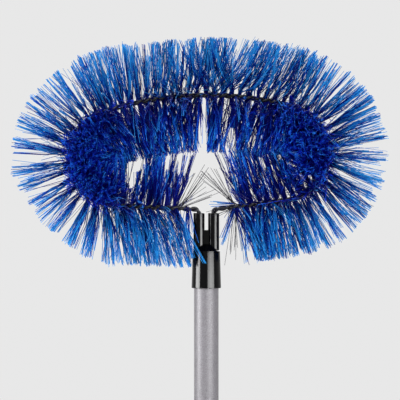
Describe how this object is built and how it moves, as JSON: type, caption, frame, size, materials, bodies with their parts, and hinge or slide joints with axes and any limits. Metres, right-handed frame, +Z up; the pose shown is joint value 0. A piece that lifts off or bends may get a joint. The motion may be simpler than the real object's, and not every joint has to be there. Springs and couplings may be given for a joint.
{
  "type": "cobweb brush",
  "caption": "Oval loop of twisted wire with blue bristle all round it, in a black plastic ferrule on a telescopic metal pole with a twist lock, grip and hanging eye.",
  "frame": {"origin": "centre of the flat butt end of the hanging eye, on the pole's axis", "axes": "+Z up the pole towards the brush head, +X along the loop's width to the right, +Y through the loop, away from the viewer"},
  "size_m": [0.3468, 0.1104, 0.9634],
  "materials": {
    "tube": "speckled silver-grey powder coat",
    "cap": "fine moulded texture",
    "grip": "matt soft rubber",
    "collet": "satin moulded",
    "nut": "satin moulded",
    "bush": "plain moulded",
    "ferrule": "glossy moulded black",
    "wire": "dark drawn steel",
    "bristle": "slightly shiny synthetic filament"
  },
  "bodies": {
    "handle": {"outer_tube": "tube", "hand_grip": "grip", "hang_cap": "cap", "clamp_collet": "collet"},
    "lock": {"lock_nut": "nut"},
    "head": {"inner_tube": "tube", "glide_bush": "bush", "ferrule": "ferrule", "core_wire_a": "wire", "core_wire_b": "wire", "bristle_left_run_1": "bristle", "bristle_left_run_2": "bristle", "bristle_left_bend_1": "bristle", "bristle_left_bend_2": "bristle", "bristle_left_bend_3": "bristle", "bristle_top_1": "bristle", "bristle_top_2": "bristle", "bristle_top_3": "bristle", "bristle_top_4": "bristle", "bristle_top_5": "bristle", "bristle_top_6": "bristle", "bristle_right_bend_1": "bristle", "bristle_right_bend_2": "bristle", "bristle_right_bend_3": "bristle", "bristle_right_run_1": "bristle", "bristle_right_run_2": "bristle"}
  },
  "joints": [
    {"name": "pole_slide", "type": "slide", "parent": "handle", "child": "head", "axis": [0, 0, 1], "range_m": [-0.11, 0.3]},
    {"name": "lock_turn", "type": "hinge", "parent": "handle", "child": "lock", "pos_m": [0, 0, 0.588], "axis": [0, 0, 1], "range_deg": [0, 120]}
  ]
}
